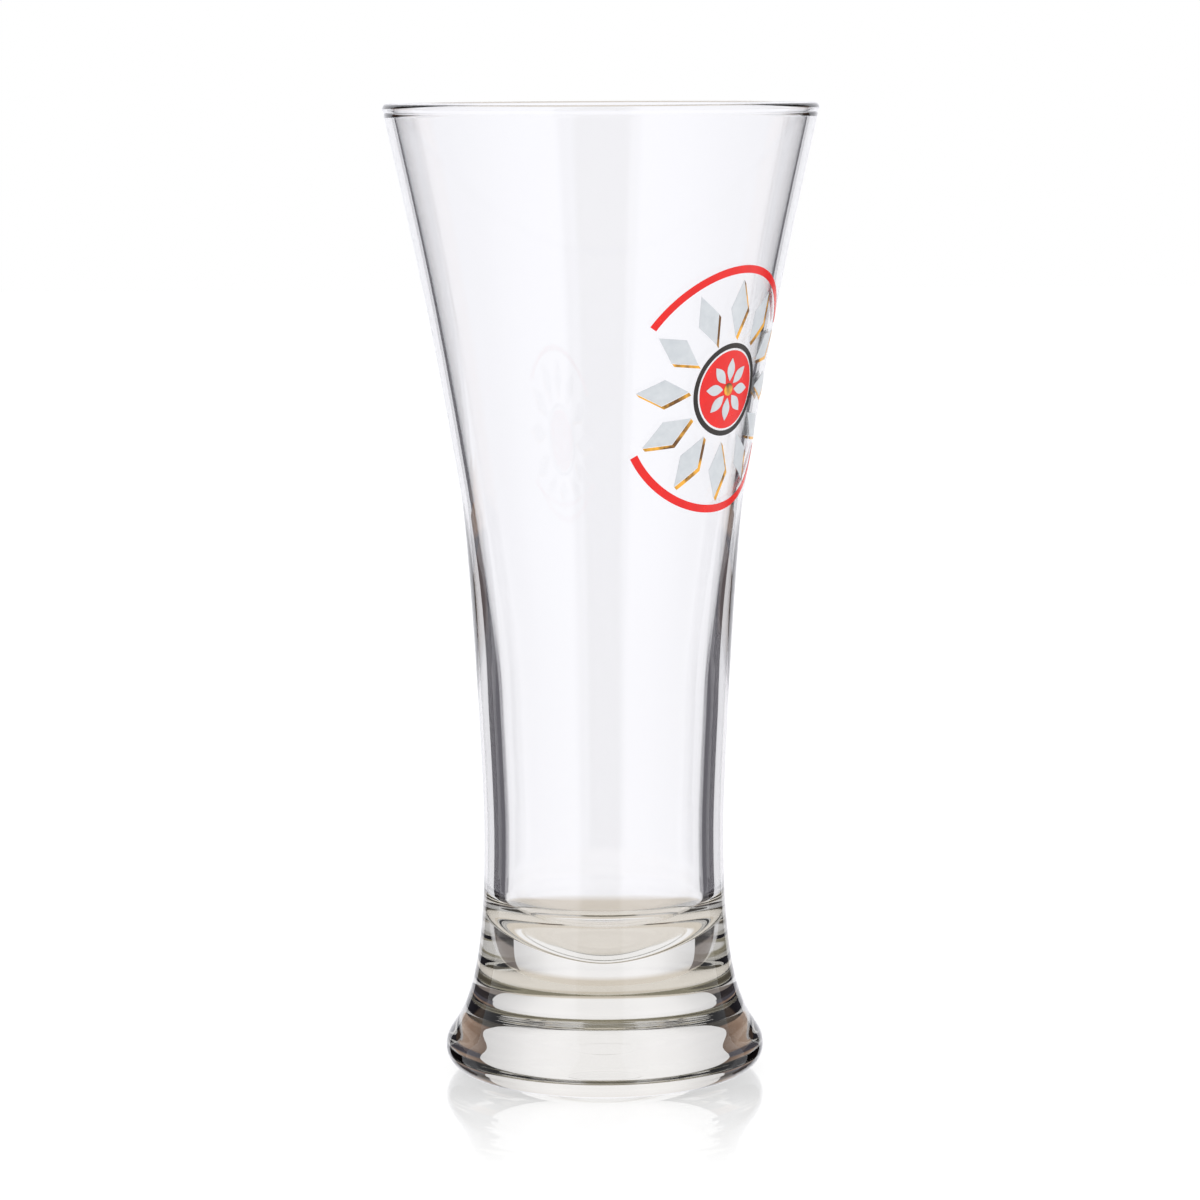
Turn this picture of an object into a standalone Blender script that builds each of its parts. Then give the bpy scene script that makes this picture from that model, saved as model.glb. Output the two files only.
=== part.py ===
"""Flared beer glass: one turned soda-lime body with a fired enamel medallion on its wall.

Metres, +Z up. The origin is the centre of the standing ring, and -Y is the front.
"""

import math

import bmesh
import bpy
import numpy as np

# Foot
FOOT_RADIUS = 0.0313
FOOT_EDGE_HEIGHT = 0.0050
FOOT_EDGE_ROUND = 0.0060
STANDING_RING_WIDTH = 0.0060
RECESS_DEPTH = 0.0002
RECESS_FILLET = 0.0083
MARK_RADIUS = 0.0050
MARK_DEPTH = 0.00005
MARK_SLOPE = 0.0005

# Outer wall, one stretch above the other
FOOT_TAPER_HEIGHT = 0.0421
WAIST_RADIUS = 0.0235
STEM_HEIGHT = 0.0670
STEM_TOP_RADIUS = 0.0275
STEM_TOP_SLOPE = 0.165
BOWL_HEIGHT = 0.0738
NECK_TO_TOP = 0.0021
RIM_RADIUS = 0.0422
RIM_BEAD_RADIUS = 0.00095
RIM_OVERHANG = 0.0003
RIM_WRAP_OUTSIDE = math.radians(60.0)
RIM_WRAP_INSIDE = math.radians(10.0)
NECK_SLOPE = 0.220

# Share of a stretch's height over which each end holds its direction
FOOT_PULL = 0.150
WAIST_PULL_DOWN = 0.945
WAIST_PULL_UP = 0.194
STEM_TOP_PULL_DOWN = 0.116
STEM_TOP_PULL_UP = 0.507
NECK_PULL = 0.339

# Wall and base thickness
STEM_WALL = 0.0041
BOWL_WALL = 0.0021
THINNING_START = 0.0260
THINNING_LENGTH = 0.0400
BASE_THICKNESS = 0.0217
CAVITY_ROUND_HEIGHT = 0.0140
CAVITY_SIDE_PULL = 0.500
CAVITY_FLOOR_PULL = 0.300

# Medallion: place on the wall, and the enamel film
PRINT_BEARING = math.radians(50.0)
PRINT_HEIGHT = 0.1360
FILM_THICKNESS = 0.00014
FILM_GAP = 0.00008

# Medallion: motifs
DISC_RADIUS = 0.0075
RING_GAP = 0.0004
RING_WIDTH = 0.0010
PETAL_COUNT = 8
PETAL_LENGTH = 0.0044
PETAL_WIDTH = 0.0021
CENTRE_RADIUS = 0.0012
CENTRE_GAP = 0.0004
RAY_COUNT = 12
RAY_START_GAP = 0.0012
RAY_LENGTH = 0.0108
RAY_WIDTH = 0.0050
SHADE_WIDTH = 0.0008
SHADE_GAP = 0.00015
SHADE_LEAST_FACING = 0.25
ARC_GAP = 0.0013
ARC_WIDTH = 0.0015
ARC_SWEEP = math.radians(116.0)

# Facets
SEGMENTS = 64
FOOT_STEPS = 5
TAPER_STEPS = 9
STEM_STEPS = 6
BOWL_STEPS = 8
BEAD_STEPS = 10
CAVITY_STEPS = 10
ROUND_STEPS = 24
PETAL_STEPS = 4
FILM_FACET = 0.0030

# Levels that follow from the sizes above
WAIST_Z = FOOT_EDGE_HEIGHT + FOOT_TAPER_HEIGHT
STEM_TOP_Z = WAIST_Z + STEM_HEIGHT
NECK_Z = STEM_TOP_Z + BOWL_HEIGHT
HEIGHT = NECK_Z + NECK_TO_TOP
NECK_RADIUS = RIM_RADIUS - RIM_OVERHANG
CAVITY_ROUND_TOP = BASE_THICKNESS + CAVITY_ROUND_HEIGHT


def bezier(start, start_handle, end_handle, end, steps):
    """Points along a cubic curve, both ends included."""
    t = np.linspace(0.0, 1.0, steps + 1)[:, None]
    points = [np.array(point) for point in (start, start_handle, end_handle, end)]
    weights = [(1 - t) ** 3, 3 * t * (1 - t) ** 2, 3 * t**2 * (1 - t), t**3]
    return sum(weight * point for weight, point in zip(weights, points))


def outer_wall(taper_steps, stem_steps, bowl_steps):
    """(radius, height) points of the outside, from the foot's widest ring up to the neck."""
    taper = bezier(
        (FOOT_RADIUS, FOOT_EDGE_HEIGHT),
        (FOOT_RADIUS, FOOT_EDGE_HEIGHT + FOOT_PULL * FOOT_TAPER_HEIGHT),
        (WAIST_RADIUS, WAIST_Z - WAIST_PULL_DOWN * FOOT_TAPER_HEIGHT),
        (WAIST_RADIUS, WAIST_Z),
        taper_steps,
    )
    below_stem_top = STEM_TOP_PULL_DOWN * STEM_HEIGHT
    stem = bezier(
        (WAIST_RADIUS, WAIST_Z),
        (WAIST_RADIUS, WAIST_Z + WAIST_PULL_UP * STEM_HEIGHT),
        (STEM_TOP_RADIUS - STEM_TOP_SLOPE * below_stem_top, STEM_TOP_Z - below_stem_top),
        (STEM_TOP_RADIUS, STEM_TOP_Z),
        stem_steps,
    )
    above_stem_top = STEM_TOP_PULL_UP * BOWL_HEIGHT
    below_neck = NECK_PULL * BOWL_HEIGHT
    bowl = bezier(
        (STEM_TOP_RADIUS, STEM_TOP_Z),
        (STEM_TOP_RADIUS + STEM_TOP_SLOPE * above_stem_top, STEM_TOP_Z + above_stem_top),
        (NECK_RADIUS - NECK_SLOPE * below_neck, NECK_Z - below_neck),
        (NECK_RADIUS, NECK_Z),
        bowl_steps,
    )
    return np.vstack([taper, stem[1:], bowl[1:]])


FINE_WALL = outer_wall(80, 80, 80)


def outer_radius(height):
    """Radius of the outside at a height between the widest ring and the neck."""
    return float(np.interp(height, FINE_WALL[:, 1], FINE_WALL[:, 0]))


def eased(share):
    """Smooth step from 0 to 1."""
    share = min(max(share, 0.0), 1.0)
    return share * share * (3 - 2 * share)


def wall_thickness(height):
    """The wall thins smoothly from the stem to the bowl."""
    to_bowl = eased((height - WAIST_Z - THINNING_START) / THINNING_LENGTH)
    return STEM_WALL + (BOWL_WALL - STEM_WALL) * to_bowl


def inner_radius(height):
    return outer_radius(height) - wall_thickness(height)


def underside():
    """From the axis out over the mould mark and the shallow recess to the standing ring."""
    ring_outer = FOOT_RADIUS - FOOT_EDGE_ROUND
    ring_inner = ring_outer - STANDING_RING_WIDTH
    return [
        (0.0, RECESS_DEPTH + MARK_DEPTH),
        (MARK_RADIUS - MARK_SLOPE, RECESS_DEPTH + MARK_DEPTH),
        (MARK_RADIUS, RECESS_DEPTH),
        (ring_inner - RECESS_FILLET, RECESS_DEPTH),
        (ring_inner - RECESS_FILLET / 2, RECESS_DEPTH / 2),
        (ring_inner, 0.0),
        (ring_outer, 0.0),
    ]


def foot_edge():
    """Rounded edge between the standing ring and the widest ring, ends left out."""
    centre = FOOT_RADIUS - FOOT_EDGE_ROUND
    turns = [math.pi / 2 * step / FOOT_STEPS for step in range(1, FOOT_STEPS)]
    return [
        (centre + FOOT_EDGE_ROUND * math.sin(turn), FOOT_EDGE_HEIGHT * (1 - math.cos(turn)))
        for turn in turns
    ]


def rim_bead():
    """Fire-polished bead, from its outer underside over the top to the inside."""
    centre_radius = RIM_RADIUS - RIM_BEAD_RADIUS
    centre_height = HEIGHT - RIM_BEAD_RADIUS
    turns = np.linspace(-RIM_WRAP_OUTSIDE, math.pi + RIM_WRAP_INSIDE, BEAD_STEPS + 1)
    return [
        (
            centre_radius + RIM_BEAD_RADIUS * math.cos(turn),
            centre_height + RIM_BEAD_RADIUS * math.sin(turn),
        )
        for turn in turns
    ]


def cavity():
    """Inside of the wall from below the bead down to the axis on the cavity's floor."""
    heights = list(np.linspace(NECK_Z, STEM_TOP_Z, BOWL_STEPS + 1))
    heights += list(np.linspace(STEM_TOP_Z, CAVITY_ROUND_TOP, STEM_STEPS + 3))[1:-1]
    wall = [(inner_radius(height), height) for height in heights]
    widest = inner_radius(CAVITY_ROUND_TOP)
    floor = bezier(
        (widest, CAVITY_ROUND_TOP),
        (widest, CAVITY_ROUND_TOP - CAVITY_SIDE_PULL * CAVITY_ROUND_HEIGHT),
        (CAVITY_FLOOR_PULL * widest, BASE_THICKNESS),
        (0.0, BASE_THICKNESS),
        CAVITY_STEPS,
    )
    return wall + [tuple(point) for point in floor]


def enamel(name, colour, roughness):
    """Principled material of one finish; the colour is linear RGB."""
    material = bpy.data.materials.new(name)
    material.use_nodes = True
    shader = material.node_tree.nodes["Principled BSDF"]
    shader.inputs["Base Color"].default_value = (*colour, 1.0)
    shader.inputs["Roughness"].default_value = roughness
    shader.inputs["Metallic"].default_value = 0.0
    return material


def clear_glass():
    material = enamel("soda_lime_glass", (0.96, 0.97, 0.95), 0.0)
    shader = material.node_tree.nodes["Principled BSDF"]
    shader.inputs["Transmission Weight"].default_value = 1.0
    shader.inputs["IOR"].default_value = 1.52
    return material


def add_object(name, form, material, smooth_angle):
    """Puts a finished form in the scene as one named object."""
    mesh = bpy.data.meshes.new(name)
    form.to_mesh(mesh)
    form.free()
    mesh.materials.append(material)
    mesh.shade_smooth()
    mesh.set_sharp_from_angle(angle=smooth_angle)
    piece = bpy.data.objects.new(name, mesh)
    bpy.context.scene.collection.objects.link(piece)
    return piece


def turned_body(name, outline, material):
    """Spins a (radius, height) outline that starts and ends on the axis into a closed body."""
    form = bmesh.new()
    points = [form.verts.new((radius, 0.0, height)) for radius, height in outline]
    edges = [form.edges.new(pair) for pair in zip(points, points[1:])]
    bmesh.ops.spin(
        form,
        geom=points + edges,
        cent=(0.0, 0.0, 0.0),
        axis=(0.0, 0.0, 1.0),
        dvec=(0.0, 0.0, 0.0),
        angle=2 * math.pi,
        steps=SEGMENTS,
        use_merge=True,
        use_duplicate=False,
    )
    bmesh.ops.remove_doubles(form, verts=form.verts[:], dist=1e-6)
    bmesh.ops.recalc_face_normals(form, faces=form.faces[:])
    return add_object(name, form, material, math.radians(40.0))


def on_wall(along, up, lift, layer):
    """Wraps a flat place of the medallion on the outside of the wall."""
    height = PRINT_HEIGHT + up
    wall = outer_radius(height)
    bearing = PRINT_BEARING + along / wall
    radius = wall + FILM_GAP + layer * (FILM_THICKNESS + FILM_GAP) + lift
    return radius * math.sin(bearing), -radius * math.cos(bearing), height


def film(name, patches, material, layer=0):
    """Enamel film over flat patches that share their edges, cut in facets and wrapped on the wall."""
    form = bmesh.new()
    for patch in patches:
        form.faces.new([form.verts.new((along, up, 0.0)) for along, up in patch])
    bmesh.ops.remove_doubles(form, verts=form.verts[:], dist=1e-6)
    raised = bmesh.ops.extrude_face_region(form, geom=form.faces[:], use_keep_orig=True)["geom"]
    raised = [item for item in raised if isinstance(item, bmesh.types.BMVert)]
    bmesh.ops.translate(form, verts=raised, vec=(0.0, 0.0, FILM_THICKNESS))
    bmesh.ops.recalc_face_normals(form, faces=form.faces[:])
    for axis in (0, 1):
        places = [vertex.co[axis] for vertex in form.verts]
        first = math.ceil(min(places) / FILM_FACET)
        last = math.floor(max(places) / FILM_FACET)
        for cut in range(first, last + 1):
            place = [0.0, 0.0, 0.0]
            normal = [0.0, 0.0, 0.0]
            place[axis] = cut * FILM_FACET
            normal[axis] = 1.0
            everything = form.verts[:] + form.edges[:] + form.faces[:]
            bmesh.ops.bisect_plane(form, geom=everything, plane_co=place, plane_no=normal, dist=1e-6)
    for vertex in form.verts:
        vertex.co = on_wall(*vertex.co, layer)
    return add_object(name, form, material, math.radians(40.0))


def polar(radius, turn):
    """Flat place at a distance from the medallion's centre; turns run clockwise from the top."""
    return np.array((radius * math.sin(turn), radius * math.cos(turn)))


def disc(radius):
    return [[polar(radius, 2 * math.pi * step / ROUND_STEPS) for step in range(ROUND_STEPS)]]


def band(inner, outer, start, sweep, steps):
    """Four-sided patches along a round band."""
    turns = [start + sweep * step / steps for step in range(steps + 1)]
    return [
        [polar(inner, a), polar(outer, a), polar(outer, b), polar(inner, b)]
        for a, b in zip(turns, turns[1:])
    ]


def petal(turn):
    """Pointed oval that starts beside the centre dot and lies along a radius."""
    start = CENTRE_RADIUS + CENTRE_GAP
    across = polar(1.0, turn + math.pi / 2)
    shares = [step / PETAL_STEPS for step in range(PETAL_STEPS + 1)]
    right = [
        polar(start + PETAL_LENGTH * share, turn)
        + across * PETAL_WIDTH / 2 * math.sin(math.pi * share)
        for share in shares
    ]
    left = [
        polar(start + PETAL_LENGTH * share, turn)
        - across * PETAL_WIDTH / 2 * math.sin(math.pi * share)
        for share in shares[-2:0:-1]
    ]
    return [right + left]


def ray_corners(turn):
    """Lozenge along a radius: inner tip, right corner, outer tip, left corner."""
    start = DISC_RADIUS + RING_GAP + RING_WIDTH + RAY_START_GAP
    across = polar(RAY_WIDTH / 2, turn + math.pi / 2)
    middle = polar(start + RAY_LENGTH / 2, turn)
    return [polar(start, turn), middle + across, polar(start + RAY_LENGTH, turn), middle - across]


def ray_shade(turn):
    """Drop shade along the sides of a ray that face down and to the right."""
    corners = ray_corners(turn)
    fall = np.array((1.0, -1.0)) / math.sqrt(2.0)
    near = fall * SHADE_GAP
    far = fall * (SHADE_GAP + SHADE_WIDTH)
    patches = []
    for a, b in zip(corners, corners[1:] + corners[:1]):
        outward = np.array((b[1] - a[1], a[0] - b[0])) / np.linalg.norm(b - a)
        if np.dot(outward, fall) > SHADE_LEAST_FACING:
            patches.append([a + near, b + near, b + far, a + far])
    return patches


def build_medallion():
    red = enamel("red_enamel", (0.79, 0.009, 0.006), 0.25)
    white = enamel("grey_white_enamel", (0.72, 0.75, 0.78), 0.30)
    gold = enamel("gold_enamel", (0.85, 0.46, 0.02), 0.30)
    dark = enamel("dark_enamel", (0.012, 0.009, 0.008), 0.25)

    film("red_disc", disc(DISC_RADIUS), red)
    ring_inner = DISC_RADIUS + RING_GAP
    film("dark_ring", band(ring_inner, ring_inner + RING_WIDTH, 0.0, 2 * math.pi, ROUND_STEPS), dark)
    film("gold_centre", disc(CENTRE_RADIUS), gold, layer=1)
    for number in range(PETAL_COUNT):
        turn = 2 * math.pi * number / PETAL_COUNT
        film(f"white_petal_{number + 1}", petal(turn), white, layer=1)
    for number in range(RAY_COUNT):
        turn = 2 * math.pi * number / RAY_COUNT
        film(f"white_ray_{number + 1:02d}", [ray_corners(turn)], white)
        film(f"gold_shade_{number + 1:02d}", ray_shade(turn), gold)
    arc_inner = ring_inner + RING_WIDTH + RAY_START_GAP + RAY_LENGTH + ARC_GAP
    arcs = {"red_arc_upper": 0.0, "red_arc_lower": math.pi}
    for name, middle in arcs.items():
        patches = band(arc_inner, arc_inner + ARC_WIDTH, middle - ARC_SWEEP / 2, ARC_SWEEP, ROUND_STEPS)
        film(name, patches, red)


def build():
    for old in list(bpy.data.objects):
        bpy.data.objects.remove(old, do_unlink=True)
    wall = [tuple(point) for point in outer_wall(TAPER_STEPS, STEM_STEPS, BOWL_STEPS)]
    outline = underside() + foot_edge() + wall + rim_bead() + cavity()
    turned_body("glass_body", outline, clear_glass())
    build_medallion()


build()
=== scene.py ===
"""Looks of a flared beer glass: clear soda-lime glass with a fired enamel medallion, in a bright studio.

Metres, +Z up. The origin is the centre of the standing ring, and -Y is the front that the camera sees.
"""

import logging
import math
from dataclasses import dataclass, field
from enum import Enum
from typing import Callable, Iterable, Sequence

import bpy
import numpy as np
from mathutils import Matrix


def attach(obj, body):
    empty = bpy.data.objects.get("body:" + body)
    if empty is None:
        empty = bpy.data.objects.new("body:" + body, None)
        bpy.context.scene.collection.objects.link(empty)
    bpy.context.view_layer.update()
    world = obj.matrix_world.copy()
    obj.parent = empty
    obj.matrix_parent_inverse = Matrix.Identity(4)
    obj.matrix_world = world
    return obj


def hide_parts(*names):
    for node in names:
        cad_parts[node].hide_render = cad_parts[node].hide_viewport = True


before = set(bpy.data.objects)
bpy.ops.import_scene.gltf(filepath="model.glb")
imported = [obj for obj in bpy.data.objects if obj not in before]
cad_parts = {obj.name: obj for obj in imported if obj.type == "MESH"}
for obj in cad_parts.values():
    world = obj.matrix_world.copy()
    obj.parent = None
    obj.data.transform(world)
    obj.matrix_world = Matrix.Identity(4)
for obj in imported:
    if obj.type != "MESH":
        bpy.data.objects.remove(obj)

logging.basicConfig(level=logging.INFO, format="%(name)s: %(message)s")
LOG = logging.getLogger("beer_glass")
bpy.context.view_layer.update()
MM = 0.001

Point = tuple[float, float]
Colour = tuple[float, float, float]
GridShape = Callable[[np.ndarray, np.ndarray], np.ndarray]
PURE_WHITE = (1.0, 1.0, 1.0, 1.0)


def linear(hex_colour: str) -> tuple[float, float, float, float]:
    """Turns an sRGB hex colour into linear RGBA.

    Args:
        hex_colour: Six hex digits, such as "e8140f".

    Returns:
        The colour as linear red, green, blue and an alpha of 1.
    """
    channels = [int(hex_colour[place:place + 2], 16) / 255 for place in (0, 2, 4)]
    return (*(c / 12.92 if c <= 0.04045 else ((c + 0.055) / 1.055) ** 2.4 for c in channels), 1.0)


def add_node(tree: bpy.types.NodeTree, kind: str, inputs: dict | None = None, **settings) -> bpy.types.Node:
    """Adds one shader node with its settings, and fills or links its inputs.

    Args:
        tree: The node tree to add to.
        kind: Blender's type name of the node.
        inputs: Input name or index to a value, or to the output socket that it links to.
        **settings: Properties of the node itself.

    Returns:
        The new node.
    """
    node = tree.nodes.new(kind)
    for name, value in settings.items():
        setattr(node, name, value)
    for name, value in (inputs or {}).items():
        if isinstance(value, bpy.types.NodeSocket):
            tree.links.new(value, node.inputs[name])
        else:
            node.inputs[name].default_value = value
    return node


def fill_ramp(node: bpy.types.Node, stops: Sequence[tuple[float, tuple]], blend: str = "LINEAR") -> None:
    """Sets the stops of a Color Ramp node.

    Args:
        node: The Color Ramp node.
        stops: (position, linear RGBA colour) pairs in rising order.
        blend: How the ramp blends between stops.
    """
    ramp = node.color_ramp
    ramp.interpolation = blend
    while len(ramp.elements) > 1:
        ramp.elements.remove(ramp.elements[-1])
    ramp.elements[0].position, ramp.elements[0].color = stops[0]
    for position, colour in stops[1:]:
        ramp.elements.new(position).color = colour


def start_material(name: str) -> tuple[bpy.types.Material, bpy.types.NodeTree, bpy.types.Node]:
    """Starts an empty node material.

    Args:
        name: Name of the material.

    Returns:
        The material, its node tree and its output node.
    """
    material = bpy.data.materials.new(name)
    material.use_nodes = True
    material.node_tree.nodes.clear()
    return material, material.node_tree, add_node(material.node_tree, "ShaderNodeOutputMaterial")


def mix_colours(
    tree: bpy.types.NodeTree, share: bpy.types.NodeSocket, first: bpy.types.NodeSocket | tuple,
    second: bpy.types.NodeSocket | tuple,
) -> bpy.types.NodeSocket:
    """Adds a mix of two colours.

    Args:
        tree: The node tree to add to.
        share: Output socket with the second colour's share.
        first: The colour at a share of 0, as a value or an output socket.
        second: The colour at a share of 1.

    Returns:
        The output socket of the mixed colour.
    """
    mix = add_node(tree, "ShaderNodeMix", {"Factor": share, "A": first, "B": second}, data_type="RGBA")
    return mix.outputs["Result"]


def place_and_turn(
    tree: bpy.types.NodeTree, coordinates: str,
) -> tuple[bpy.types.NodeOutputs, bpy.types.NodeSocket]:
    """Adds the parts of a place or direction and its turn about the axis, which is 0 behind the glass.

    Args:
        tree: The node tree to add to.
        coordinates: Output of the Texture Coordinate node to use.

    Returns:
        The outputs X, Y and Z, and the output socket of the turn in radians.
    """
    place = add_node(tree, "ShaderNodeTexCoord").outputs[coordinates]
    parts = add_node(tree, "ShaderNodeSeparateXYZ", {0: place}).outputs
    turn = add_node(tree, "ShaderNodeMath", {0: parts["X"], 1: parts["Y"]}, operation="ARCTAN2")
    return parts, turn.outputs[0]


def bezier(start: Point, start_handle: Point, end_handle: Point, end: Point, steps: int) -> np.ndarray:
    """Points along a cubic curve.

    Args:
        start: First point.
        start_handle: Handle of the first point.
        end_handle: Handle of the last point.
        end: Last point.
        steps: Number of stretches between points.

    Returns:
        An array of steps + 1 points, both ends included.
    """
    t = np.linspace(0.0, 1.0, steps + 1)[:, None]
    points = [np.array(point) for point in (start, start_handle, end_handle, end)]
    weights = [(1 - t) ** 3, 3 * t * (1 - t) ** 2, 3 * t**2 * (1 - t), t**3]
    return sum(weight * point for weight, point in zip(weights, points))


def eased(share: float) -> float:
    """Smooth step from 0 to 1."""
    share = min(max(share, 0.0), 1.0)
    return share * share * (3 - 2 * share)


def polar(radius: float | np.ndarray, turn: float | np.ndarray) -> np.ndarray:
    """Flat places at a distance from the medallion's centre; turns run clockwise from the top."""
    radius, turn = np.broadcast_arrays(radius, turn)
    return np.stack([radius * np.sin(turn), radius * np.cos(turn)], axis=-1)


@dataclass(frozen=True)
class ClearGlass:
    """Pressed soda-lime glass, fire polished: clear, with a faint olive tint where it is thick."""

    ior: float = 1.52
    tint: str = "cfc8ac"
    density: float = 6.0

    def material(self) -> bpy.types.Material:
        """Makes the glass: smooth refraction outside, weak coloured absorption inside."""
        material, tree, output = start_material("soda_lime_glass_fire_polished")
        shader = add_node(tree, "ShaderNodeBsdfPrincipled", {
            "Base Color": PURE_WHITE, "Roughness": 0.0, "IOR": self.ior, "Transmission Weight": 1.0})
        absorb = add_node(tree, "ShaderNodeVolumeAbsorption", {
            "Color": linear(self.tint), "Density": self.density})
        tree.links.new(shader.outputs["BSDF"], output.inputs["Surface"])
        tree.links.new(absorb.outputs["Volume"], output.inputs["Volume"])
        return material


@dataclass(frozen=True)
class Enamel:
    """Ceramic colour, screen printed and fired on: glossy, slightly uneven in tone and gloss."""

    name: str
    colour: str
    shade: str
    roughness: float
    cloud_size: float = 2.2 * MM
    cloud_edges: tuple[float, float] = (0.30, 0.70)
    cloud_detail: float = 3.0
    cloud_roughness: float = 0.6
    peel_size: float = 0.35 * MM
    peel_detail: float = 2.0
    peel_strength: float = 0.15
    peel_depth: float = 0.02 * MM
    smoother_by: float = 0.05
    rougher_by: float = 0.08
    ior: float = 1.52

    def material(self) -> bpy.types.Material:
        """Makes the enamel: cloudy tone from the squeegee and a fine orange peel from firing; in the gold,
        the strong dark-brown clouds are painted reflection.
        """
        material, tree, output = start_material(self.name)
        place = add_node(tree, "ShaderNodeTexCoord").outputs["Object"]
        cloud = add_node(tree, "ShaderNodeTexNoise", {
            "Vector": place, "Scale": 1 / self.cloud_size, "Detail": self.cloud_detail,
            "Roughness": self.cloud_roughness})
        share = add_node(tree, "ShaderNodeMapRange", {
            "Value": cloud.outputs["Fac"], "From Min": self.cloud_edges[0],
            "From Max": self.cloud_edges[1]})
        tone = mix_colours(tree, share.outputs["Result"], linear(self.shade), linear(self.colour))
        peel = add_node(tree, "ShaderNodeTexNoise", {
            "Vector": place, "Scale": 1 / self.peel_size, "Detail": self.peel_detail})
        bump = add_node(tree, "ShaderNodeBump", {
            "Height": peel.outputs["Fac"], "Strength": self.peel_strength, "Distance": self.peel_depth})
        gloss = add_node(tree, "ShaderNodeMapRange", {
            "Value": cloud.outputs["Fac"], "To Min": self.roughness - self.smoother_by,
            "To Max": self.roughness + self.rougher_by})
        shader = add_node(tree, "ShaderNodeBsdfPrincipled", {
            "Base Color": tone, "Roughness": gloss.outputs["Result"], "IOR": self.ior,
            "Normal": bump.outputs["Normal"]})
        tree.links.new(shader.outputs["BSDF"], output.inputs["Surface"])
        return material


class EnamelColour(Enum):
    """The four colours of the print, each with its material slot name."""

    RED = ("red_enamel", Enamel("red_enamel_fired", "f01008", "e20c08", 0.24))
    WHITE = ("white_enamel", Enamel("grey_white_enamel_fired", "d6dade", "c8cdd2", 0.32))
    # Gold's dark-brown clouds are painted reflection: they stand in for a gold lustre that mirrors dark
    # surroundings.
    GOLD = ("gold_enamel", Enamel(
        "gold_enamel_fired", "f6b236", "6a4413", 0.28, cloud_size=5.0 * MM, cloud_edges=(0.40, 0.56)))
    DARK = ("dark_enamel", Enamel("brown_black_enamel_fired", "231a16", "120d0b", 0.24))

    @property
    def slot(self) -> str:
        """Name of the colour's material slot."""
        return self.value[0]

    @property
    def enamel(self) -> Enamel:
        """Finish of this colour."""
        return self.value[1]


def begin_mesh(name: str) -> bpy.types.Object:
    """Starts a piece as one selected vertex at the origin, in edit mode.

    Args:
        name: Name of the piece.

    Returns:
        The new object.
    """
    bpy.ops.object.select_all(action="DESELECT")
    bpy.ops.mesh.primitive_plane_add(size=MM)
    piece = bpy.context.object
    piece.name = name
    piece.data.name = name
    bpy.ops.object.mode_set(mode="EDIT")
    bpy.ops.mesh.select_all(action="SELECT")
    bpy.ops.mesh.merge(type="CENTER")
    return piece


def draw_line(points: Iterable[tuple[float, float, float]]) -> None:
    """Draws edges through points by extruding the selected vertex, which starts at the origin.

    Args:
        points: The places to pass through, the first one included.
    """
    last = np.zeros(3)
    for number, point in enumerate(points):
        step = tuple(np.array(point) - last)
        if number == 0:
            bpy.ops.transform.translate(value=step)
        else:
            bpy.ops.mesh.extrude_vertices_move(TRANSFORM_OT_translate={"value": step})
        last = np.array(point)


def weld(distance: float) -> None:
    """Joins vertices of the piece in edit mode, turns its faces outward and leaves edit mode.

    Args:
        distance: Vertices nearer to one another than this become one.
    """
    bpy.ops.mesh.select_all(action="SELECT")
    bpy.ops.mesh.remove_doubles(threshold=distance)
    bpy.ops.mesh.normals_make_consistent(inside=False)
    bpy.ops.object.mode_set(mode="OBJECT")


def bent_grid(name: str, steps: Sequence[int], bend: GridShape) -> bpy.types.Object:
    """Makes a flat grid and moves each vertex to where a function puts it.

    Args:
        name: Name of the piece.
        steps: Facets along and across the grid.
        bend: Turns shares along and across the grid into places in space.

    Returns:
        The bent grid, selected.
    """
    bpy.ops.object.select_all(action="DESELECT")
    bpy.ops.mesh.primitive_grid_add(x_subdivisions=steps[0], y_subdivisions=steps[1], size=1.0)
    piece = bpy.context.object
    piece.name = piece.data.name = name
    places = np.empty(len(piece.data.vertices) * 3)
    piece.data.vertices.foreach_get("co", places)
    along, across = (places.reshape(-1, 3)[:, :2] + 0.5).T
    piece.data.vertices.foreach_set("co", bend(along, across).ravel())
    return piece


def hide_from(piece: bpy.types.Object, *rays: str) -> None:
    """Hides a piece from kinds of rays, such as "camera" or "shadow"."""
    for kind in rays:
        setattr(piece, f"visible_{kind}", False)


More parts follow.
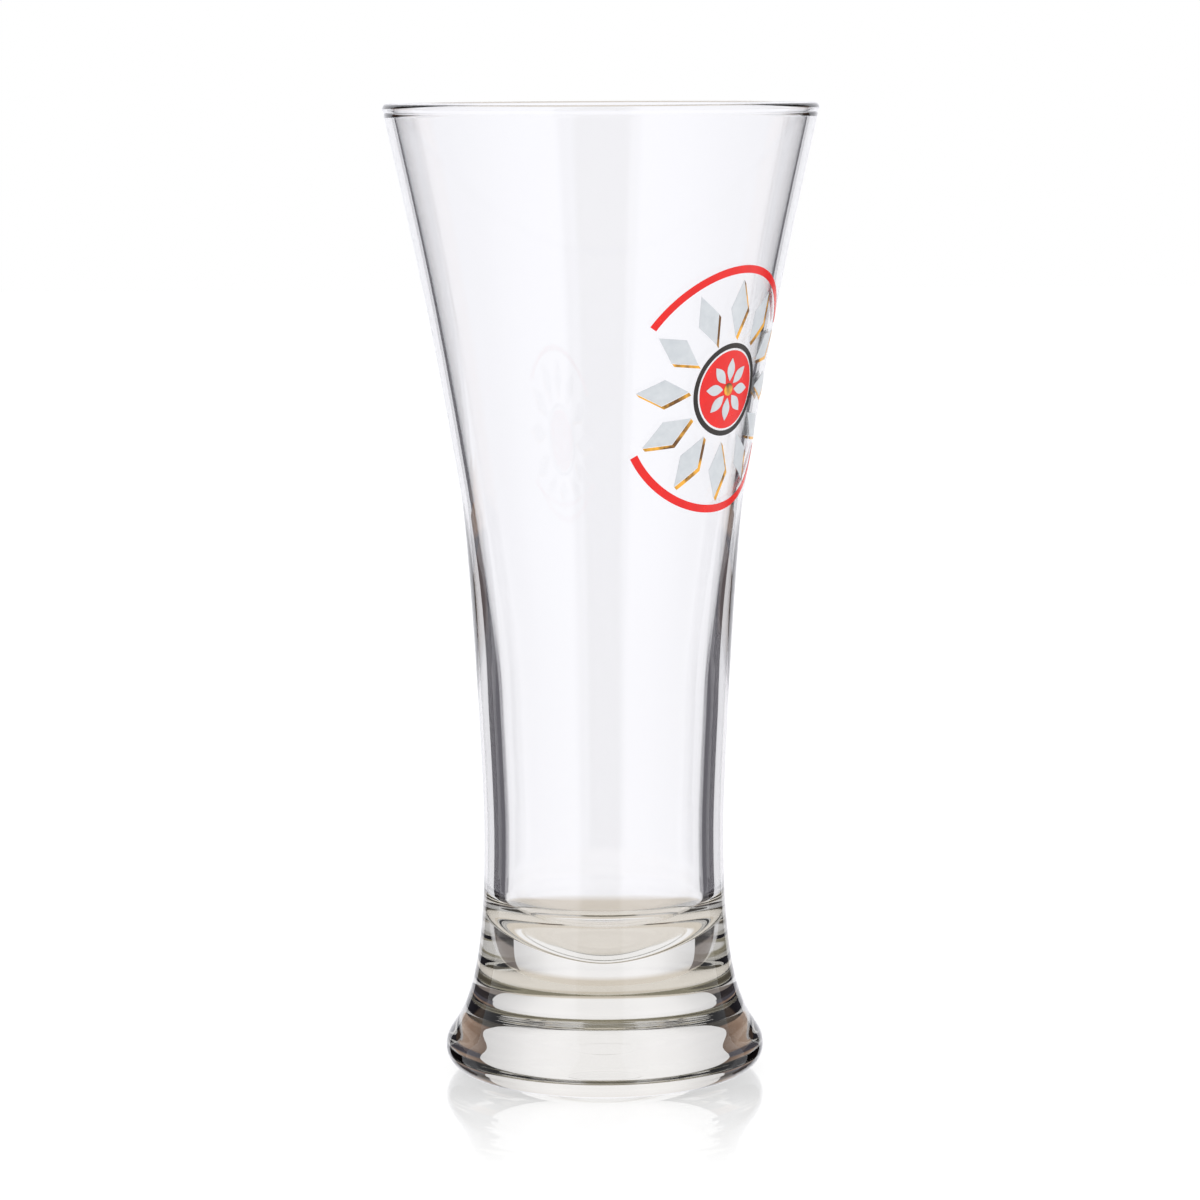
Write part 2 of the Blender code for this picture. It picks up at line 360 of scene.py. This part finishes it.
@dataclass
class GlassBody:
    """The one piece of glass: solid foot, stem, flared bowl and beaded rim."""

    foot_radius: float = 31.3 * MM
    foot_edge_height: float = 5.0 * MM
    foot_edge_round: float = 6.0 * MM
    standing_ring_width: float = 6.0 * MM
    recess_depth: float = 0.2 * MM
    recess_fillet: float = 8.3 * MM
    mark_radius: float = 5.0 * MM
    mark_depth: float = 0.05 * MM
    mark_slope: float = 0.5 * MM
    foot_taper_height: float = 42.1 * MM
    waist_radius: float = 23.5 * MM
    stem_height: float = 67.0 * MM
    stem_top_radius: float = 27.5 * MM
    stem_top_slope: float = 0.165
    bowl_height: float = 73.8 * MM
    neck_to_top: float = 2.1 * MM
    rim_radius: float = 42.2 * MM
    rim_bead_radius: float = 0.95 * MM
    rim_overhang: float = 0.3 * MM
    rim_wrap_outside: float = 60.0
    rim_wrap_inside: float = 10.0
    rim_crease: float = 0.2 * MM
    neck_slope: float = 0.22
    foot_pull: float = 0.150
    waist_pull_down: float = 0.945
    waist_pull_up: float = 0.194
    stem_top_pull_down: float = 0.116
    stem_top_pull_up: float = 0.507
    neck_pull: float = 0.339
    stem_wall: float = 4.1 * MM
    bowl_wall: float = 2.1 * MM
    thinning_start: float = 26.0 * MM
    thinning_length: float = 40.0 * MM
    base_thickness: float = 21.7 * MM
    cavity_round_height: float = 14.0 * MM
    cavity_side_pull: float = 0.50
    cavity_floor_pull: float = 0.30
    taper_steps: int = 60
    stem_steps: int = 50
    bowl_steps: int = 50
    slope_steps: int = 8
    foot_edge_steps: int = 16
    rim_steps: int = 30
    cavity_steps: int = 89
    cavity_floor_steps: int = 48
    segments: int = 256
    weld_distance: float = 0.0005 * MM
    finish: ClearGlass = field(default_factory=ClearGlass)

    def __post_init__(self) -> None:
        """Works out the levels and the fine outer wall."""
        self.waist_z = self.foot_edge_height + self.foot_taper_height
        self.stem_top_z = self.waist_z + self.stem_height
        self.neck_z = self.stem_top_z + self.bowl_height
        self.height = self.neck_z + self.neck_to_top
        self.cavity_round_top = self.base_thickness + self.cavity_round_height
        self.crease_z = self.neck_z - self.rim_crease
        self.wall = self.outer_wall()

    def outer_wall(self) -> np.ndarray:
        """Outside of the foot, stem and bowl.

        Returns:
            The (radius, height) points from the widest ring of the foot up to the neck below the rim.
        """
        foot, waist = (self.foot_radius, self.foot_edge_height), (self.waist_radius, self.waist_z)
        taper = bezier(
            foot, (foot[0], foot[1] + self.foot_pull * self.foot_taper_height),
            (waist[0], waist[1] - self.waist_pull_down * self.foot_taper_height), waist, self.taper_steps)
        top, slope = (self.stem_top_radius, self.stem_top_z), self.stem_top_slope
        below, above = self.stem_top_pull_down * self.stem_height, self.stem_top_pull_up * self.bowl_height
        stem = bezier(
            waist, (waist[0], waist[1] + self.waist_pull_up * self.stem_height),
            (top[0] - slope * below, top[1] - below), top, self.stem_steps)
        neck = (self.rim_radius - self.rim_overhang, self.neck_z)
        under = self.neck_pull * self.bowl_height
        bowl = bezier(
            top, (top[0] + slope * above, top[1] + above),
            (neck[0] - self.neck_slope * under, neck[1] - under), neck, self.bowl_steps)
        return np.vstack([taper, stem[1:], bowl[1:]])

    def outer_radius(self, height: float) -> float:
        """Radius of the outside at a height."""
        return float(np.interp(height, self.wall[:, 1], self.wall[:, 0]))

    def inner_radius(self, height: float) -> float:
        """Radius of the inside at a height: the wall thins smoothly from stem to bowl."""
        to_bowl = eased((height - self.waist_z - self.thinning_start) / self.thinning_length)
        return self.outer_radius(height) - self.stem_wall - (self.bowl_wall - self.stem_wall) * to_bowl

    def slope(self, start: Point, end: Point) -> list[Point]:
        """Smooth slope between two levels, flat at both ends."""
        middle = (start[0] + end[0]) / 2
        return [tuple(p) for p in bezier(start, (middle, start[1]), (middle, end[1]), end, self.slope_steps)]

    def underside(self) -> list[Point]:
        """From the axis over the mould mark and the shallow recess to the standing ring."""
        ring_outer = self.foot_radius - self.foot_edge_round
        ring_inner = ring_outer - self.standing_ring_width
        floor = self.recess_depth + self.mark_depth
        mark = self.slope((self.mark_radius - self.mark_slope, floor), (self.mark_radius, self.recess_depth))
        fillet = self.slope((ring_inner - self.recess_fillet, self.recess_depth), (ring_inner, 0.0))
        return [(0.0, floor), *mark, *fillet, (ring_outer, 0.0)]

    def foot_edge(self) -> list[Point]:
        """Rounded edge between the standing ring and the widest ring, ends left out."""
        centre = self.foot_radius - self.foot_edge_round
        turns = np.linspace(0.0, math.pi / 2, self.foot_edge_steps + 1)[1:-1]
        return [
            (centre + self.foot_edge_round * math.sin(turn), self.foot_edge_height * (1 - math.cos(turn)))
            for turn in turns]

    def rim_bead(self) -> list[Point]:
        """Fire-polished bead, from its outer underside over the top to the inside."""
        bead = self.rim_bead_radius
        turns = np.linspace(-self.rim_wrap_outside, 180.0 + self.rim_wrap_inside, self.rim_steps + 1)
        return [
            (self.rim_radius - bead + bead * math.cos(turn), self.height - bead + bead * math.sin(turn))
            for turn in np.radians(turns)]

    def cavity(self) -> list[Point]:
        """Inside of the wall from below the bead down to the axis on the cavity's floor."""
        heights = np.linspace(self.crease_z, self.cavity_round_top, self.cavity_steps + 1)[:-1]
        wall = [(self.inner_radius(height), height) for height in (self.neck_z, *heights)]
        widest = self.inner_radius(self.cavity_round_top)
        floor = bezier(
            (widest, self.cavity_round_top),
            (widest, self.cavity_round_top - self.cavity_side_pull * self.cavity_round_height),
            (self.cavity_floor_pull * widest, self.base_thickness),
            (0.0, self.base_thickness), self.cavity_floor_steps)
        return wall + [tuple(p) for p in floor]

    def outline(self) -> list[Point]:
        """Half of the section, from the axis under the foot over the rim to the axis in the cavity."""
        wall = [tuple(p) for p in self.wall]
        wall.insert(-1, (self.outer_radius(self.crease_z), self.crease_z))
        return self.underside() + self.foot_edge() + wall + self.rim_bead() + self.cavity()

    def build(self) -> bpy.types.Object:
        """Draws the outline, spins it about the axis and closes it.

        Returns:
            The glass as one closed mesh.
        """
        piece = begin_mesh("turned_glass")
        draw_line((radius, 0.0, height) for radius, height in self.outline())
        bpy.ops.mesh.select_all(action="SELECT")
        bpy.ops.mesh.spin(steps=self.segments, angle=2 * math.pi, center=(0, 0, 0), axis=(0, 0, 1))
        weld(self.weld_distance)
        bpy.ops.object.shade_smooth()
        return piece

    def dress(self, piece: bpy.types.Object) -> None:
        """Gives the glass its finish, hangs it on the root body and hides the imported glass_body part."""
        piece.data.materials.append(self.finish.material())
        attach(piece, "root")
        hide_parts("glass_body")


@dataclass
class Medallion:
    """Fired enamel print on the wall: flower disc, ring, rays with drop shades and two arcs."""

    glass: GlassBody
    bearing: float = math.radians(50.0)
    height: float = 136.0 * MM
    film: float = 0.06 * MM
    film_gap: float = 0.02 * MM
    facet: float = 0.8 * MM
    disc_radius: float = 7.5 * MM
    ring_gap: float = 0.4 * MM
    ring_width: float = 1.0 * MM
    petal_count: int = 8
    petal_length: float = 4.4 * MM
    petal_width: float = 2.1 * MM
    centre_radius: float = 1.2 * MM
    centre_gap: float = 0.4 * MM
    ray_count: int = 12
    ray_start_gap: float = 1.2 * MM
    ray_length: float = 10.8 * MM
    ray_width: float = 5.0 * MM
    shade_width: float = 0.8 * MM
    shade_gap: float = 0.15 * MM
    shade_least_facing: float = 0.25
    arc_gap: float = 1.3 * MM
    arc_width: float = 1.5 * MM
    arc_sweep: float = math.radians(116.0)
    petal_fineness: float = 3.0
    centre_fineness: float = 4.0
    smooth_angle: float = math.radians(40.0)
    weld_distance: float = 0.001 * MM

    def __post_init__(self) -> None:
        """Works out the radii and makes the four enamels."""
        self.ring_radius = self.disc_radius + self.ring_gap
        self.ray_start = self.ring_radius + self.ring_width + self.ray_start_gap
        self.arc_radius = self.ray_start + self.ray_length + self.arc_gap
        self.finishes = {colour: colour.enamel.material() for colour in EnamelColour}

    def on_wall(self, flat: np.ndarray, layer: int) -> np.ndarray:
        """Wraps flat places of the medallion on the outside of the wall.

        Args:
            flat: (along, up) places from the medallion's centre.
            layer: 0 on the glass, 1 on another film.

        Returns:
            The places in space.
        """
        height = self.height + flat[:, 1]
        wall = np.interp(height, self.glass.wall[:, 1], self.glass.wall[:, 0])
        bearing = self.bearing + flat[:, 0] / wall
        radius = wall + self.film_gap + layer * (self.film + self.film_gap)
        return np.column_stack([radius * np.sin(bearing), -radius * np.cos(bearing), height])

    def print_film(
        self, name: str, colour: EnamelColour, outline: GridShape, length: float, width: float,
        layer: int = 0,
    ) -> bpy.types.Object:
        """Lays one film: a grid drawn to the motif's outline, wrapped on the wall and thickened.

        Args:
            name: The node that the film stands for.
            colour: Its enamel.
            outline: Turns shares along and across the grid into flat places.
            length: Size along the motif, for the facets.
            width: Size across it.
            layer: 0 on the glass, 1 on another film.

        Returns:
            The film as one closed mesh.
        """
        steps = [2 * max(1, math.ceil(size / self.facet / 2)) for size in (length, width)]
        piece = bent_grid(f"film_{name}", steps, lambda u, v: self.on_wall(outline(u, v), layer))
        bpy.ops.object.mode_set(mode="EDIT")
        weld(self.weld_distance)
        face = piece.data.polygons[0]
        if face.normal.x * face.center.x + face.normal.y * face.center.y < 0:
            piece.data.flip_normals()
        solid = piece.modifiers.new("film", "SOLIDIFY")
        solid.thickness, solid.offset = self.film, 1.0
        bpy.ops.object.modifier_apply(modifier=solid.name)
        bpy.ops.object.shade_smooth_by_angle(angle=self.smooth_angle)
        piece.data.materials.append(self.finishes[colour])
        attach(piece, "root")
        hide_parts(name)
        return piece

    def band(self, inner: float, width: float, middle: float = 0.0, sweep: float = 2 * math.pi) -> GridShape:
        """Outline of a round band, or of a disc when inner is 0."""
        return lambda u, v: polar(inner + width * v, middle + sweep * (u - 0.5))

    def petal(self, turn: float) -> GridShape:
        """Outline of a pointed oval that lies along a radius."""
        start = self.centre_radius + self.centre_gap
        across = polar(self.petal_width, turn + math.pi / 2)
        return lambda u, v: (
            polar(start + self.petal_length * u, turn)
            + across * ((v - 0.5) * np.sin(math.pi * u))[:, None])

    def ray(self, turn: float) -> GridShape:
        """Outline of a lozenge that lies along a radius."""
        across = polar(self.ray_width, turn + math.pi / 2)
        return lambda u, v: (
            polar(self.ray_start + self.ray_length * u, turn)
            + across * ((v - 0.5) * (1 - np.abs(2 * u - 1)))[:, None])

    def shade(self, turn: float) -> GridShape:
        """Outline of the drop shade along the ray's sides that face down and to the right."""
        across = polar(self.ray_width / 2, turn + math.pi / 2)
        middle = polar(self.ray_start + self.ray_length / 2, turn)
        tips = [
            polar(self.ray_start, turn), middle + across,
            polar(self.ray_start + self.ray_length, turn), middle - across]
        fall = np.array((1.0, -1.0)) / math.sqrt(2.0)
        facing = []
        for start, end in zip(tips, tips[1:] + tips[:1]):
            outward = np.array((end[1] - start[1], start[0] - end[0])) / np.linalg.norm(end - start)
            facing.append(float(np.dot(outward, fall)) > self.shade_least_facing)
        first = next(side for side in range(4) if facing[side] and not facing[side - 1])
        chain = np.array([tips[(first + step) % 4] for step in range(sum(facing) + 1)])
        ends = np.linspace(0.0, 1.0, len(chain))

        def outline(u: np.ndarray, v: np.ndarray) -> np.ndarray:
            """Follows the chain of tips, set off along the fall of the shade."""
            line = np.column_stack([np.interp(u, ends, chain[:, axis]) for axis in (0, 1)])
            return line + fall * (self.shade_gap + self.shade_width * v)[:, None]

        return outline

    def build(self) -> list[bpy.types.Object]:
        """Prints every film.

        Returns:
            The films, in the order of printing.
        """
        red, white, gold, dark = EnamelColour
        full_turn = 2 * math.pi
        films = [
            self.print_film(
                "red_disc", red, self.band(0.0, self.disc_radius),
                full_turn * self.disc_radius, self.disc_radius),
            self.print_film(
                "dark_ring", dark, self.band(self.ring_radius, self.ring_width),
                full_turn * self.ring_radius, self.ring_width),
            self.print_film(
                "gold_centre", gold, self.band(0.0, self.centre_radius),
                self.centre_fineness * full_turn * self.centre_radius, self.centre_radius, layer=1)]
        for number in range(self.petal_count):
            turn = full_turn * number / self.petal_count
            films.append(self.print_film(
                f"white_petal_{number + 1}", white, self.petal(turn),
                self.petal_fineness * self.petal_length, self.petal_width, layer=1))
        for number in range(self.ray_count):
            turn = full_turn * number / self.ray_count
            films.append(self.print_film(
                f"white_ray_{number + 1:02d}", white, self.ray(turn), self.ray_length, self.ray_width))
            films.append(self.print_film(
                f"gold_shade_{number + 1:02d}", gold, self.shade(turn), self.ray_length, self.shade_width))
        for name, middle in (("red_arc_upper", 0.0), ("red_arc_lower", math.pi)):
            films.append(self.print_film(
                name, red, self.band(self.arc_radius, self.arc_width, middle, self.arc_sweep),
                self.arc_sweep * self.arc_radius, self.arc_width))
        return films


@dataclass(frozen=True)
class SkyBand:
    """One belt of the surroundings, from a lower edge up to the next belt.

    Attributes:
        edge: Its lower edge, in degrees above the horizon.
        blend: Degrees on both sides of that edge over which it blends with what is below.
        stops: (bearing, colour) pairs from -180 to 180 degrees, 0 behind the glass.
    """

    edge: float
    blend: float
    stops: tuple[tuple[float, Colour], ...]


# Light levels of the stage, as linear red, green and blue
GREY_FLAG = (0.075, 0.070, 0.085)
PALE_FLAG = (0.22, 0.19, 0.18)
SHADED_FLAG = (0.020, 0.016, 0.017)
STEM_FLAG = (0.24, 0.23, 0.26)
DARK_FLAG = (0.045, 0.040, 0.034)
WARM_FLAG = (
    (0.0, (0.15, 0.095, 0.068)), (0.45, (0.29, 0.20, 0.155)),
    (0.80, (0.44, 0.33, 0.27)), (1.0, (0.56, 0.45, 0.39)))
CAMERA_SIDE = (0.095, 0.085, 0.062)
ROOM_ABOVE_CAMERA = (0.28, 0.26, 0.20)
CEILING = (0.50, 0.50, 0.51)
CARD_COOLNESS = 1.045
SOFTBOX_MIDDLE = 0.72
SOFTBOX_EDGE = 0.66
ROOM_SIDE = 0.52


def card(level: float) -> Colour:
    """Cool white of the bright card behind the glass and of the softboxes."""
    return level, level, CARD_COOLNESS * level


def belt(*behind: tuple[float, Colour], camera: Colour = CAMERA_SIDE) -> tuple[tuple[float, Colour], ...]:
    """Stops of a belt: what stands behind the glass, the room's sides, softboxes and the camera's side.

    Args:
        *behind: (bearing, colour) pairs behind and beside the glass, in rising order.
        camera: Colour on the camera's side.

    Returns:
        (bearing, colour) pairs from -180 to 180 degrees, 0 behind the glass.
    """
    middle, edge, side = card(SOFTBOX_MIDDLE), card(SOFTBOX_EDGE), card(ROOM_SIDE)
    return (
        (-180, camera), (-157, camera), (-154, middle), (-125, edge), (-100, side), (-75, side), *behind,
        (75, side), (105, side), (135, edge), (162, middle), (165, camera), (180, camera))


BRIGHT_CARD = tuple((bearing, card(level)) for bearing, level in (
    (-60, 0.70), (-37, 0.78), (-28, 0.87), (-24, 0.94), (-20, 1.01), (-12, 1.06), (-6, 1.03),
    (6, 1.03), (12, 1.06), (20, 1.00), (24, 0.92), (28, 0.85), (37, 0.74), (60, 0.70)))


@dataclass(frozen=True)
class Flag:
    """A dark card beside the bright one, curved about the glass. Only refracted and mirrored light sees it.

    Attributes:
        name: Name of the card.
        side: -1 on the left of the glass, 1 on the right.
        distance: Distance from the glass's axis.
        bottom: Level of its lower edge.
        top: Level of its upper edge.
        edges: (level, inner bearing, outer bearing), rising, in degrees from behind the glass.
        tones: (level, colour) pairs, rising.
        lit: (level, share) pairs, rising: how far the warm light covers the tones.
        least_crossings: It shows only to light that has crossed so many surfaces of the glass.
        most_crossings: It shows only to light that has crossed no more surfaces than this.
        least_reflections: It shows only to light that has been mirrored so many times.
        steps: Facets from the inner to the outer edge, and from bottom to top.
    """

    name: str
    side: int
    distance: float
    bottom: float
    top: float
    edges: tuple[tuple[float, float, float], ...]
    tones: tuple[tuple[float, Colour], ...]
    lit: tuple[tuple[float, float], ...] = ((0.0, 0.0),)
    least_crossings: int = 0
    most_crossings: int = 8
    least_reflections: int = 0
    steps: tuple[int, int] = (24, 38)

    def build(self) -> None:
        """Bends a grid about the glass, paints it and hides it from all but refracted and mirrored light."""
        piece = bent_grid(self.name, self.steps, self.bend)
        piece.data.materials.append(self.material())
        hide_from(piece, "camera", "diffuse", "shadow")

    def bend(self, outward: np.ndarray, up: np.ndarray) -> np.ndarray:
        """Places between the inner and the outer bearing at each height.

        Args:
            outward: Shares from the inner to the outer edge.
            up: Shares from the bottom to the top.

        Returns:
            The places in space.
        """
        height = self.bottom + (self.top - self.bottom) * up
        levels, *bearings = zip(*self.edges)
        inner, outer = (np.interp(height, levels, bearing) for bearing in bearings)
        bearing = self.side * np.radians(inner + (outer - inner) * outward)
        return np.column_stack([self.distance * np.sin(bearing), self.distance * np.cos(bearing), height])

    def level(self, height: float) -> float:
        """Share of the card's height at a level."""
        return (height - self.bottom) / (self.top - self.bottom)

    def paint(self, tree: bpy.types.NodeTree) -> bpy.types.NodeSocket:
        """Colour of the card: its tones from bottom to top, and a warm lit strip that brightens outward."""
        parts, turn = place_and_turn(tree, "Object")
        rise = add_node(tree, "ShaderNodeMapRange", {
            "Value": parts["Z"], "From Min": self.bottom, "From Max": self.top}).outputs["Result"]
        tone = add_node(tree, "ShaderNodeValToRGB", {"Fac": rise})
        fill_ramp(tone, [(self.level(height), (*colour, 1.0)) for height, colour in self.tones])
        lit = add_node(tree, "ShaderNodeValToRGB", {"Fac": rise})
        fill_ramp(lit, [(self.level(height), (share, share, share, 1.0)) for height, share in self.lit])
        away = add_node(tree, "ShaderNodeMath", {0: turn}, operation="ABSOLUTE")
        outward = add_node(tree, "ShaderNodeMapRange", {
            "Value": away.outputs[0], "From Min": math.radians(min(inner for _, inner, _ in self.edges)),
            "From Max": math.radians(max(outer for _, _, outer in self.edges))})
        warm = add_node(tree, "ShaderNodeValToRGB", {"Fac": outward.outputs["Result"]})
        fill_ramp(warm, [(share, (*colour, 1.0)) for share, colour in WARM_FLAG])
        return mix_colours(tree, lit.outputs["Color"], tone.outputs["Color"], warm.outputs["Color"])

    def seen(self, tree: bpy.types.NodeTree) -> bpy.types.NodeSocket:
        """1 for light that the card shows to, by the surfaces it crossed and was mirrored in, or else 0."""
        path = add_node(tree, "ShaderNodeLightPath").outputs
        seen: bpy.types.NodeSocket | float = 1.0
        # Counts are whole numbers, so each limit lies half a step outside
        for count, test, limit in (
            ("Transmission Depth", "GREATER_THAN", self.least_crossings - 0.5),
            ("Transmission Depth", "LESS_THAN", self.most_crossings + 0.5),
            ("Glossy Depth", "GREATER_THAN", self.least_reflections - 0.5),
        ):
            passed = add_node(tree, "ShaderNodeMath", {0: path[count], 1: limit}, operation=test)
            both = add_node(tree, "ShaderNodeMath", {0: seen, 1: passed.outputs[0]}, operation="MULTIPLY")
            seen = both.outputs[0]
        return seen

    def material(self) -> bpy.types.Material:
        """Makes the card glow in its own tones where it shows, and leaves it clear elsewhere."""
        material, tree, output = start_material(f"{self.name}_paint")
        glow = add_node(tree, "ShaderNodeEmission", {"Color": self.paint(tree), "Strength": 1.0})
        clear = add_node(tree, "ShaderNodeBsdfTransparent")
        mix = add_node(tree, "ShaderNodeMixShader", {
            "Fac": self.seen(tree), 1: clear.outputs[0], 2: glow.outputs[0]})
        tree.links.new(mix.outputs[0], output.inputs["Surface"])
        return material


@dataclass
class Studio:
    """Floor, shaded table, flags, surroundings and camera."""

    camera_distance: float = 857.5 * MM
    camera_height: float = 198.0 * MM
    camera_pitch: float = 6.96
    camera_side: float = -0.1 * MM
    camera_roll: float = 0.25
    focal_pixels: float = 4414.0
    image_pixels: float = 1200.0
    sensor: float = 36.0
    clip_start: float = 10.0 * MM
    floor_size: float = 6.0
    floor_glow: float = 0.82
    floor_matt: float = 0.25
    mirror_roughness: float = 0.008
    mirror_strength: float = 0.33
    mirror_start: float = 28.0 * MM
    mirror_end: float = 92.0 * MM
    shaded_radius: float = 27.5 * MM
    shaded_depth: float = 0.1 * MM
    shaded_corners: int = 96
    shaded_table: Colour = (0.82, 0.78, 0.74)
    soft_light: float = 1.1
    ground: Colour = (0.73, 0.67, 0.60)
    belts: tuple[SkyBand, ...] = (
        SkyBand(-36, 3, belt((-70, card(0.85)), *BRIGHT_CARD, (70, card(0.85)))),
        SkyBand(-8, 2, belt(*BRIGHT_CARD)),
        SkyBand(18, 2, belt(*BRIGHT_CARD, camera=ROOM_ABOVE_CAMERA)),
        SkyBand(60, 4, ((-180, CEILING), (180, CEILING))))

    def flags(self) -> None:
        """Sets dark cards on both sides of the bright one, each for the part of the glass that sees it."""
        for side, place in ((-1, "left"), (1, "right")):
            for flag in (
                Flag(
                    f"{place}_low_flag", side, distance=280 * MM, bottom=-200 * MM, top=10 * MM,
                    edges=((-200 * MM, 37.2, 50.0), (0.0, 33.2, 62.0)), most_crossings=3,
                    tones=(
                        (-106 * MM, PALE_FLAG), (-100 * MM, SHADED_FLAG),
                        (-32 * MM, SHADED_FLAG), (-16 * MM, GREY_FLAG))),
                Flag(
                    f"{place}_wall_flag", side, distance=280 * MM, bottom=10 * MM, top=58 * MM,
                    edges=((10 * MM, 33.2, 62.0),), most_crossings=3, least_reflections=1,
                    tones=((10 * MM, GREY_FLAG),), lit=((36 * MM, 0.0), (42 * MM, 1.0))),
                Flag(
                    f"{place}_bowl_flag", side, distance=1190 * MM, bottom=-130 * MM, top=60 * MM,
                    edges=((0.0, 33.0, 62.0),), most_crossings=3, least_reflections=1,
                    tones=((0.0, GREY_FLAG),)),
                Flag(
                    f"{place}_stem_flag", side, distance=1190 * MM, bottom=-280 * MM, top=-131 * MM,
                    edges=((0.0, 30.0, 62.0),), least_crossings=4, tones=((0.0, STEM_FLAG),)),
                Flag(
                    f"{place}_far_flag", side, distance=1200 * MM, bottom=-150 * MM, top=2100 * MM,
                    edges=((0.0, 36.5, 62.0),), tones=((440 * MM, GREY_FLAG), (470 * MM, DARK_FLAG)),
                    lit=((100 * MM, 0.0), (114 * MM, 1.0), (450 * MM, 1.0), (470 * MM, 0.0))),
            ):
                flag.build()

    def camera(self) -> None:
        """Makes the camera at the photograph's viewing angle."""
        data = bpy.data.cameras.new("camera")
        data.sensor_width = self.sensor
        data.lens = self.sensor * self.focal_pixels / self.image_pixels
        data.clip_start = self.clip_start
        camera = bpy.data.objects.new("camera", data)
        camera.location = (self.camera_side, -self.camera_distance, self.camera_height)
        camera.rotation_euler = (
            math.radians(90.0 - self.camera_pitch), math.radians(self.camera_roll), 0.0)
        bpy.context.scene.collection.objects.link(camera)
        bpy.context.scene.camera = camera

    def floor(self) -> None:
        """Makes the pale floor, which mirrors the foot and loses the mirroring away from it."""
        bpy.ops.object.select_all(action="DESELECT")
        bpy.ops.mesh.primitive_plane_add(size=self.floor_size)
        piece = bpy.context.object
        piece.name = "floor"
        material, tree, output = start_material("white_acrylic_sheet")
        place = add_node(tree, "ShaderNodeTexCoord").outputs["Object"]
        away = add_node(tree, "ShaderNodeVectorMath", {0: place}, operation="LENGTH")
        share = add_node(tree, "ShaderNodeMapRange", {
            "Value": away.outputs["Value"], "From Min": self.mirror_start, "From Max": self.mirror_end,
            "To Min": self.mirror_strength, "To Max": 0.0})
        glow = add_node(tree, "ShaderNodeEmission", {"Color": PURE_WHITE, "Strength": self.floor_glow})
        matt = add_node(tree, "ShaderNodeBsdfDiffuse", {
            "Color": (self.floor_matt, self.floor_matt, self.floor_matt, 1.0)})
        both = add_node(tree, "ShaderNodeAddShader", {0: glow.outputs[0], 1: matt.outputs[0]})
        mirror = add_node(tree, "ShaderNodeBsdfGlossy", {
            "Color": PURE_WHITE, "Roughness": self.mirror_roughness})
        mix = add_node(tree, "ShaderNodeMixShader", {
            "Fac": share.outputs["Result"], 1: both.outputs[0], 2: mirror.outputs[0]})
        tree.links.new(mix.outputs[0], output.inputs["Surface"])
        piece.data.materials.append(material)
        hide_from(piece, "transmission", "glossy")

    def table_under_foot(self) -> None:
        """Makes the shaded patch of table that shows only through the base of the glass."""
        bpy.ops.object.select_all(action="DESELECT")
        bpy.ops.mesh.primitive_circle_add(
            vertices=self.shaded_corners, radius=self.shaded_radius, fill_type="NGON",
            location=(0.0, 0.0, -self.shaded_depth))
        piece = bpy.context.object
        piece.name = "table_under_foot"
        material, tree, output = start_material("shaded_table")
        glow = add_node(tree, "ShaderNodeEmission", {"Color": (*self.shaded_table, 1.0), "Strength": 1.0})
        tree.links.new(glow.outputs[0], output.inputs["Surface"])
        piece.data.materials.append(material)
        hide_from(piece, "camera", "diffuse", "glossy", "shadow")

    def surroundings(self) -> None:
        """Makes the world: card, softboxes and room for the glass, even light, and white for the picture."""
        world = bpy.data.worlds.new("studio")
        bpy.context.scene.world = world
        world.use_nodes = True
        tree = world.node_tree
        tree.nodes.clear()
        output = add_node(tree, "ShaderNodeOutputWorld")
        parts, turn = place_and_turn(tree, "Generated")
        bearing = add_node(tree, "ShaderNodeMapRange", {
            "Value": turn, "From Min": -math.pi, "From Max": math.pi}).outputs["Result"]
        rise = add_node(tree, "ShaderNodeMath", {0: parts["Z"]}, operation="ARCSINE")
        rise = add_node(tree, "ShaderNodeMath", {0: rise.outputs[0]}, operation="DEGREES").outputs[0]
        colour: bpy.types.NodeSocket | tuple = (*self.ground, 1.0)
        for band in self.belts:
            ramp = add_node(tree, "ShaderNodeValToRGB", {"Fac": bearing})
            fill_ramp(ramp, [(0.5 + degrees / 360.0, (*tone, 1.0)) for degrees, tone in band.stops])
            share = add_node(tree, "ShaderNodeMapRange", {
                "Value": rise, "From Min": band.edge - band.blend, "From Max": band.edge + band.blend})
            colour = mix_colours(tree, share.outputs["Result"], colour, ramp.outputs["Color"])
        path = add_node(tree, "ShaderNodeLightPath").outputs
        soft = (self.soft_light, self.soft_light, self.soft_light, 1.0)
        colour = mix_colours(tree, path["Is Diffuse Ray"], colour, soft)
        blurred = add_node(tree, "ShaderNodeMath", {
            0: path["Is Glossy Ray"], 1: path["Is Singular Ray"]}, operation="SUBTRACT", use_clamp=True)
        plain = add_node(tree, "ShaderNodeMath", {
            0: path["Is Camera Ray"], 1: blurred.outputs[0]}, operation="MAXIMUM")
        colour = mix_colours(tree, plain.outputs[0], colour, PURE_WHITE)
        light = add_node(tree, "ShaderNodeBackground", {"Color": colour, "Strength": 1.0})
        tree.links.new(light.outputs[0], output.inputs["Surface"])


def main() -> None:
    """Builds the pieces in order, dresses them and sets the studio."""
    bpy.context.scene.view_settings.view_transform = "Standard"
    glass = GlassBody()
    piece = glass.build()
    glass.dress(piece)
    LOG.info("%s: %d faces", piece.name, len(piece.data.polygons))
    films = Medallion(glass).build()
    LOG.info("%d films: %d faces", len(films), sum(len(film.data.polygons) for film in films))
    studio = Studio()
    studio.floor()
    studio.table_under_foot()
    studio.flags()
    studio.surroundings()
    studio.camera()


if __name__ == "__main__":
    main()
